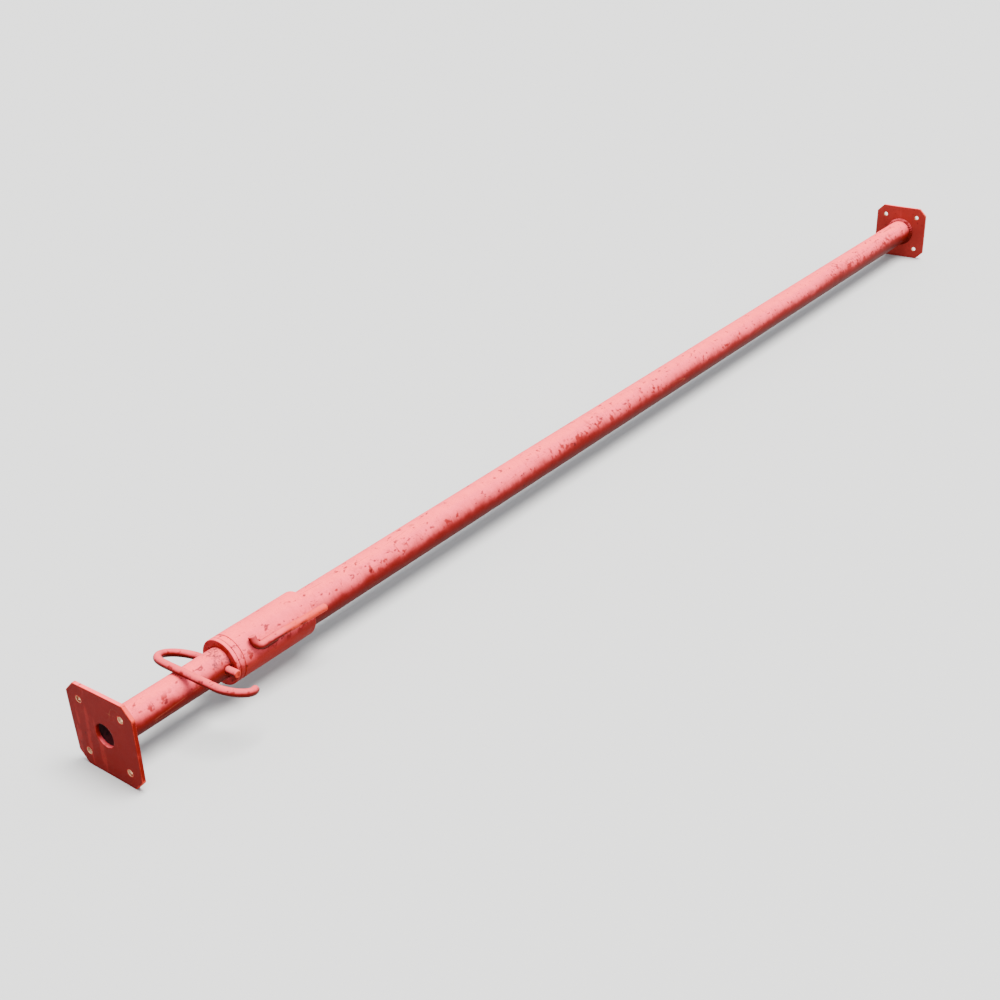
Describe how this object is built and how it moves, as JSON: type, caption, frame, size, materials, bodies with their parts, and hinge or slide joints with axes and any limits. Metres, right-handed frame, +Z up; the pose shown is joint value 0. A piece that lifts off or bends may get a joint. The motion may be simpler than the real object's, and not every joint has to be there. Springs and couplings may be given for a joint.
{
  "type": "adjustable steel prop",
  "caption": "Telescopic steel prop lying closed, with a sleeve nut and rod handle, a thrust washer, a drilled inner tube, a bent locking pin and clipped square end plates.",
  "frame": {"origin": "centre of the base plate's outer face", "axes": "+X along the prop from the base plate to the head plate, +Z up as the closed prop lies on its plates' edges, +Y to the side that the pin's tip points to"},
  "size_m": [2.2, 0.1527, 0.11],
  "materials": {
    "plate_primer": "dull red primer, worn at the edges",
    "weld_primer": "rippled bead under red primer",
    "tube_primer": "semi-gloss red oxide primer",
    "washer_primer": "red primer, rubbed at the rim",
    "nut_primer": "semi-gloss red oxide primer",
    "rod_primer": "semi-gloss red oxide primer, bare at the tips",
    "inner_primer": "semi-gloss red oxide primer, rubbed grey beside the nut",
    "bare_steel": "oiled bare steel"
  },
  "bodies": {
    "outer": {"base_plate": "plate_primer", "base_weld": "weld_primer", "outer_tube": "tube_primer"},
    "washer": {"thrust_washer": "washer_primer"},
    "nut": {"cup_nut": "nut_primer", "nut_handle": "rod_primer", "handle_weld_upper": "weld_primer", "handle_weld_lower": "weld_primer"},
    "inner": {"inner_tube": "inner_primer", "stop_ring": "bare_steel", "head_plate": "plate_primer", "head_weld": "weld_primer"},
    "pin": {"lock_pin": "rod_primer"}
  },
  "joints": [
    {"name": "nut_travel", "type": "slide", "parent": "outer", "child": "washer", "axis": [1, 0, 0], "range_m": [0, 0.1]},
    {"name": "nut_spin", "type": "hinge", "parent": "washer", "child": "nut", "pos_m": [1.96, 0, 0], "axis": [1, 0, 0], "range_deg": [0, 4501]},
    {"name": "telescope", "type": "slide", "parent": "washer", "child": "inner", "axis": [1, 0, 0], "range_m": [0, 1.6]},
    {"name": "pin_withdraw", "type": "slide", "parent": "inner", "child": "pin", "axis": [0, -1, 0], "range_m": [0, 0.057]}
  ],
  "couplings": [
    {"joint": "nut_spin", "follows": "nut_travel", "rad_per_m": 785.4}
  ]
}
